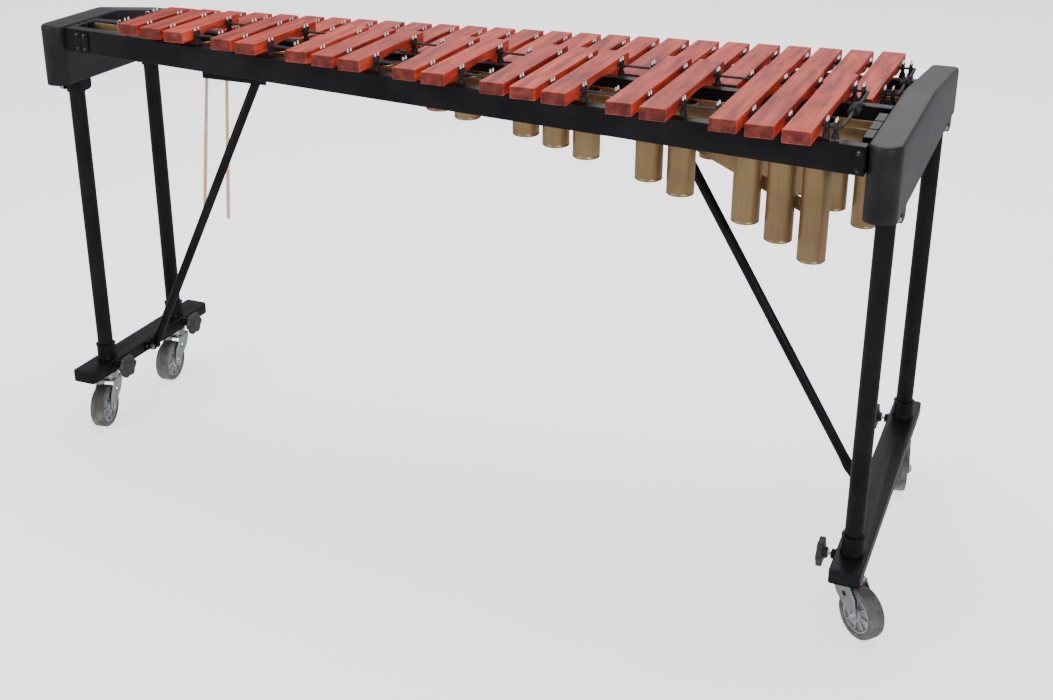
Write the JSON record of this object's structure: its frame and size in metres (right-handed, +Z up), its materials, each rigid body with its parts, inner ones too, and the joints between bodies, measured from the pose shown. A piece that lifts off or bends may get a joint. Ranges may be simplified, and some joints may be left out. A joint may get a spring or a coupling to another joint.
{
  "type": "xylophone",
  "caption": "Concert xylophone with rosewood-coloured bars in two rows over tube resonators, on a braced rolling stand with swivel casters.",
  "frame": {"origin": "on the floor, under the middle of the whole instrument's footprint", "axes": "+X along the instrument to the bass end, +Y to the player's side with the row of naturals, +Z up"},
  "size_m": [1.5244, 0.6727, 0.802],
  "materials": {
    "bar_wood": "satin",
    "frame_black": "satin powder coat",
    "black_plastic": "fine texture",
    "resonator_gold": "gold anodised, satin",
    "zinc_plate": "bright zinc plate",
    "wheel_rubber": "matte",
    "mallet_wood": "satin lacquer"
  },
  "bodies": {
    "frame": {"naturals_f4_b4": "bar_wood", "naturals_c5_e5": "bar_wood", "naturals_f5_b5": "bar_wood", "naturals_c6_e6": "bar_wood", "naturals_f6_b6": "bar_wood", "naturals_c7_e7": "bar_wood", "naturals_f7_c8": "bar_wood", "accidentals_f4_b4": "bar_wood", "accidentals_c5_e5": "bar_wood", "accidentals_f5_b5": "bar_wood", "accidentals_c6_e6": "bar_wood", "accidentals_f6_b6": "bar_wood", "accidentals_c7_e7": "bar_wood", "accidentals_f7_c8": "bar_wood", "front_rail": "frame_black", "accidental_inner_rail": "frame_black", "natural_inner_rail": "frame_black", "back_rail": "frame_black", "front_rail_plate_left": "frame_black", "front_rail_plate_right": "frame_black", "left_end_cap": "black_plastic", "right_end_cap": "black_plastic", "left_end_member": "frame_black", "right_end_member": "frame_black", "left_brace_channel": "frame_black", "right_brace_channel": "frame_black", "natural_resonators": "resonator_gold", "accidental_resonators": "resonator_gold", "resonator_stay": "resonator_gold", "natural_hanger_left": "black_plastic", "natural_hanger_right": "black_plastic", "accidental_hanger_left": "black_plastic", "accidental_hanger_right": "black_plastic", "mallet_holder": "frame_black"},
    "left_base": {"left_front_leg": "frame_black", "left_back_leg": "frame_black", "left_floor_beam": "frame_black", "left_brace_clevis": "frame_black"},
    "right_base": {"right_front_leg": "frame_black", "right_back_leg": "frame_black", "right_floor_beam": "frame_black", "right_brace_clevis": "frame_black"},
    "left_brace": {"left_brace": "frame_black"},
    "right_brace": {"right_brace": "frame_black"},
    "left_front_knob": {"left_front_knob": "black_plastic"},
    "left_back_knob": {"left_back_knob": "black_plastic"},
    "right_front_knob": {"right_front_knob": "black_plastic"},
    "right_back_knob": {"right_back_knob": "black_plastic"},
    "left_front_fork": {"left_front_fork": "zinc_plate"},
    "left_back_fork": {"left_back_fork": "zinc_plate"},
    "right_front_fork": {"right_front_fork": "zinc_plate"},
    "right_back_fork": {"right_back_fork": "zinc_plate"},
    "left_front_wheel": {"left_front_wheel": "wheel_rubber"},
    "left_back_wheel": {"left_back_wheel": "wheel_rubber"},
    "right_front_wheel": {"right_front_wheel": "wheel_rubber"},
    "right_back_wheel": {"right_back_wheel": "wheel_rubber"},
    "mallet_left": {"mallet_left": "mallet_wood"},
    "mallet_right": {"mallet_right": "mallet_wood"}
  },
  "joints": [
    {"name": "left_height", "type": "slide", "parent": "frame", "child": "left_base", "axis": [0, 0, -1], "range_m": [0, 0.04]},
    {"name": "right_height", "type": "slide", "parent": "frame", "child": "right_base", "axis": [0, 0, -1], "range_m": [0, 0.04]},
    {"name": "left_brace_pivot", "type": "hinge", "parent": "left_base", "child": "left_brace", "pos_m": [-0.6999, 0.0163, 0.118], "axis": [0, 1, 0], "range_deg": [-9.3, 0]},
    {"name": "right_brace_pivot", "type": "hinge", "parent": "right_base", "child": "right_brace", "pos_m": [0.6625, 0.0323, 0.118], "axis": [0, 1, 0], "range_deg": [0, 7.2]},
    {"name": "left_front_knob_turn", "type": "hinge", "parent": "left_base", "child": "left_front_knob", "pos_m": [-0.7032, -0.0807, 0.116], "axis": [1, 0, 0], "range_deg": [0, 360]},
    {"name": "left_back_knob_turn", "type": "hinge", "parent": "left_base", "child": "left_back_knob", "pos_m": [-0.7032, 0.1363, 0.116], "axis": [1, 0, 0], "range_deg": [0, 360]},
    {"name": "right_front_knob_turn", "type": "hinge", "parent": "right_base", "child": "right_front_knob", "pos_m": [0.6658, -0.2017, 0.116], "axis": [-1, 0, 0], "range_deg": [0, 360]},
    {"name": "right_back_knob_turn", "type": "hinge", "parent": "right_base", "child": "right_back_knob", "pos_m": [0.6658, 0.2693, 0.116], "axis": [-1, 0, 0], "range_deg": [0, 360]},
    {"name": "left_front_swivel", "type": "hinge", "parent": "left_base", "child": "left_front_fork", "pos_m": [-0.7387, -0.0807, 0.105], "axis": [0, 0, 1], "continuous": true},
    {"name": "left_back_swivel", "type": "hinge", "parent": "left_base", "child": "left_back_fork", "pos_m": [-0.7387, 0.1363, 0.105], "axis": [0, 0, 1], "continuous": true},
    {"name": "right_front_swivel", "type": "hinge", "parent": "right_base", "child": "right_front_fork", "pos_m": [0.7013, -0.2017, 0.105], "axis": [0, 0, 1], "continuous": true},
    {"name": "right_back_swivel", "type": "hinge", "parent": "right_base", "child": "right_back_fork", "pos_m": [0.7013, 0.2693, 0.105], "axis": [0, 0, 1], "continuous": true},
    {"name": "left_front_roll", "type": "hinge", "parent": "left_front_fork", "child": "left_front_wheel", "pos_m": [-0.73072, -0.11272, 0.04], "axis": [0.9703, 0.2419, 0], "continuous": true},
    {"name": "left_back_roll", "type": "hinge", "parent": "left_back_fork", "child": "left_back_wheel", "pos_m": [-0.73468, 0.10355, 0.04], "axis": [0.9925, 0.1219, 0], "continuous": true},
    {"name": "right_front_roll", "type": "hinge", "parent": "right_front_fork", "child": "right_front_wheel", "pos_m": [0.72658, -0.22291, 0.04], "axis": [0.6428, 0.766, 0], "continuous": true},
    {"name": "right_back_roll", "type": "hinge", "parent": "right_back_fork", "child": "right_back_wheel", "pos_m": [0.70816, 0.23702, 0.04], "axis": [0.9781, 0.2079, 0], "continuous": true},
    {"name": "mallet_left_lift", "type": "slide", "parent": "frame", "child": "mallet_left", "axis": [0.1064, 0, 0.9943], "range_m": [0, 0.15]},
    {"name": "mallet_right_lift", "type": "slide", "parent": "frame", "child": "mallet_right", "axis": [0.0708, 0, 0.9975], "range_m": [0, 0.15]}
  ],
  "couplings": [
    {"joint": "left_brace_pivot", "follows": "left_height", "rad_per_m": -3.95},
    {"joint": "right_brace_pivot", "follows": "right_height", "rad_per_m": 3.05}
  ]
}
